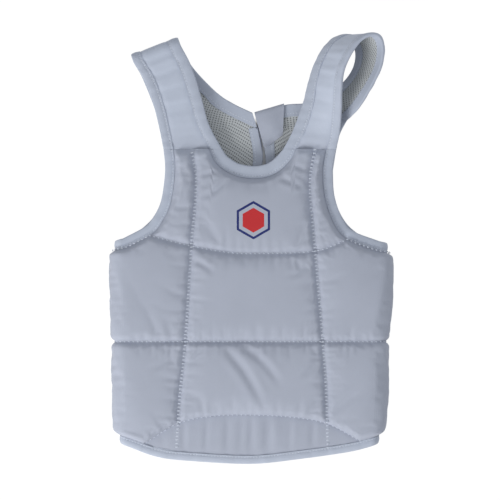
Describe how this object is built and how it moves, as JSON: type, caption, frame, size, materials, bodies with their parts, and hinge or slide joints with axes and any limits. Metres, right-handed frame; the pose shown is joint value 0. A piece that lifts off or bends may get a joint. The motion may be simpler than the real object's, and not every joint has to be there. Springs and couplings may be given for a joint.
{
  "type": "padded chest protector",
  "caption": "Padded vest-shaped chest protector: quilted foam front rolled round the sides, shoulder straps, split back with hook-and-loop closures.",
  "frame": {"origin": "centre of the vest's footprint, on the surface that it lies on", "axes": "+X to the wearer's left as seen from the front, +Y from the hem to the shoulders, +Z out of the chest"},
  "size_m": [0.3974, 0.6015, 0.0712],
  "materials": {
    "padded_fabric": "soft sheen, white woven fabric",
    "strap_satin": "satin sheen, white woven fabric",
    "mesh_lining": "pale grey open mesh",
    "edge_tape": "white folded edge tape",
    "foam": "closed-cell foam, matt",
    "elastic": "ribbed white elastic",
    "hook_tape": "white hook tape, rough",
    "loop_tape": "white loop tape, brushed"
  },
  "bodies": {
    "front": {"front_cover": "padded_fabric", "front_lining": "mesh_lining", "foam_chest_left": "foam", "foam_chest_centre": "foam", "foam_chest_right": "foam", "foam_rib_left": "foam", "foam_rib_centre": "foam", "foam_rib_right": "foam", "foam_belly_left": "foam", "foam_belly_centre": "foam", "foam_belly_right": "foam", "neck_tape": "edge_tape", "arm_tape_left": "edge_tape", "arm_tape_right": "edge_tape", "front_hem_tape": "edge_tape", "strap_cover_left": "strap_satin", "strap_cover_right": "strap_satin", "strap_lining_left": "mesh_lining", "strap_lining_right": "mesh_lining"},
    "back_left": {"back_cover_left": "strap_satin", "back_lining_left": "mesh_lining", "back_neck_tape_left": "edge_tape", "back_arm_tape_left": "edge_tape", "back_slit_tape_left": "edge_tape", "back_hem_tape_left": "edge_tape", "upper_closure_loop": "loop_tape", "lower_closure_loop": "loop_tape"},
    "back_right": {"back_cover_right": "strap_satin", "back_lining_right": "mesh_lining", "back_neck_tape_right": "edge_tape", "back_arm_tape_right": "edge_tape", "back_slit_tape_right": "edge_tape", "back_hem_tape_right": "edge_tape"},
    "upper_closure": {"upper_closure_band": "elastic", "upper_closure_hook": "hook_tape"},
    "lower_closure": {"lower_closure_band": "elastic", "lower_closure_hook": "hook_tape"}
  },
  "joints": [
    {"name": "back_left_swing", "type": "hinge", "parent": "front", "child": "back_left", "pos_m": [-0.1795, 0.008, 0], "axis": [-0.0255, 0.9997, 0], "range_deg": [0, 30]},
    {"name": "back_right_swing", "type": "hinge", "parent": "front", "child": "back_right", "pos_m": [0.179, 0.0055, 0], "axis": [-0.0442, -0.999, 0], "range_deg": [0, 30]},
    {"name": "upper_closure_flap", "type": "hinge", "parent": "back_right", "child": "upper_closure", "pos_m": [0.02594, 0.19798, 0.0006], "axis": [-0.959, -0.2835, 0], "range_deg": [0, 180]},
    {"name": "lower_closure_flap", "type": "hinge", "parent": "back_right", "child": "lower_closure", "pos_m": [0.0265, -0.13, -0.00015], "axis": [0, 1, 0], "range_deg": [0, 180]}
  ]
}
